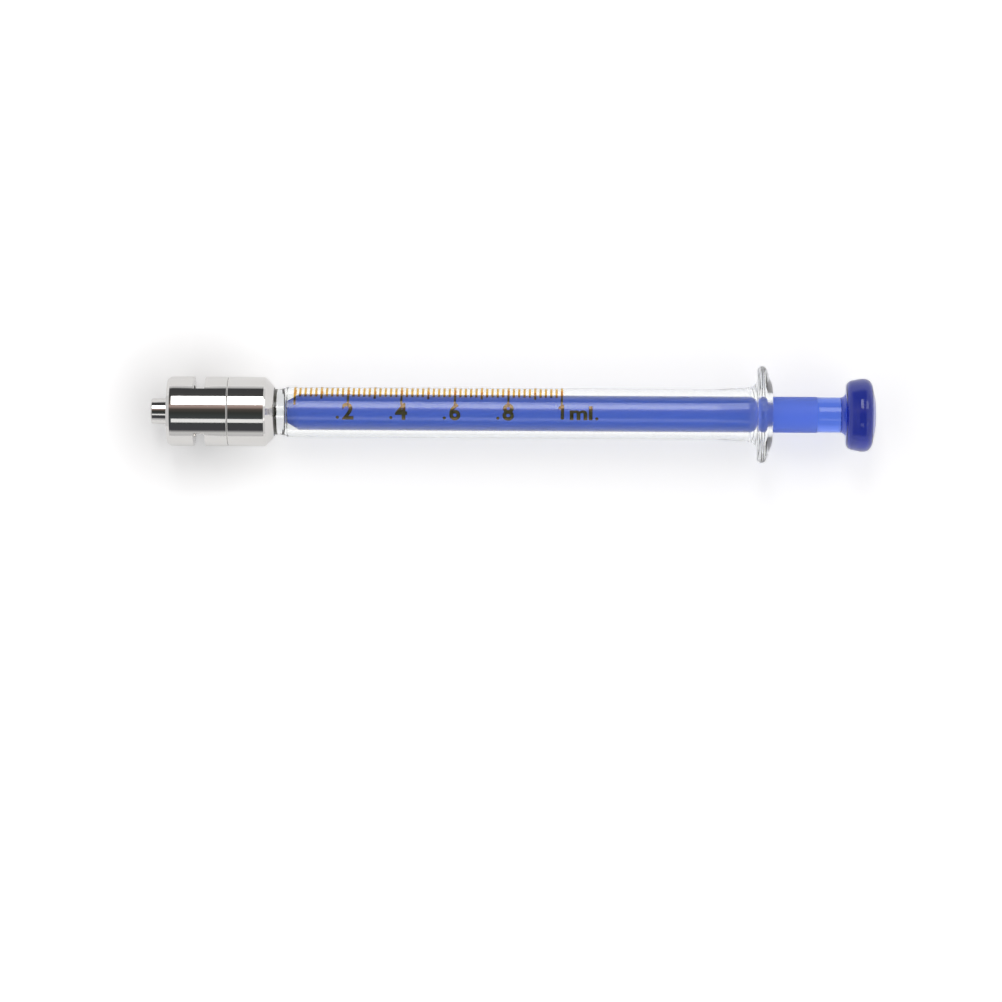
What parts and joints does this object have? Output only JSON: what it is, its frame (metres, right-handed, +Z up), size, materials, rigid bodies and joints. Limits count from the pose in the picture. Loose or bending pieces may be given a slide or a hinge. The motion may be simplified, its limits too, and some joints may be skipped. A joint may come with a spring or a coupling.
{
  "type": "reusable glass syringe",
  "caption": "Slim graduated glass syringe with a round finger flange, metal locking tip and a coloured ground-glass plunger with a thumb knob.",
  "frame": {"origin": "middle of the male cone's open end, on the syringe's axis", "axes": "+X along the axis from the cone towards the thumb knob; +Z up, with the syringe lying on its side and the graduations on top; the collar's two slots face +Y and -Y"},
  "size_m": [0.112, 0.015, 0.015],
  "materials": {
    "clear_glass": "clear borosilicate, polished outside, ground bore",
    "blue_glass": "cobalt-blue glass, ground matte on the piston, flame polished on the neck and knob",
    "chrome_plate": "polished chrome plate on turned brass",
    "soft_seal": "translucent white silicone",
    "cement": "pale grey bonding cement"
  },
  "bodies": {
    "barrel": {"glass_barrel": "clear_glass", "tip_ferrule": "chrome_plate", "lock_collar": "chrome_plate", "luer_nozzle": "chrome_plate", "tip_washer": "soft_seal", "cement_ring": "cement"},
    "piston": {"plunger": "blue_glass"}
  },
  "joints": [
    {"name": "plunger_slide", "type": "slide", "parent": "barrel", "child": "piston", "axis": [1, 0, 0], "range_m": [0, 0.076]}
  ]
}
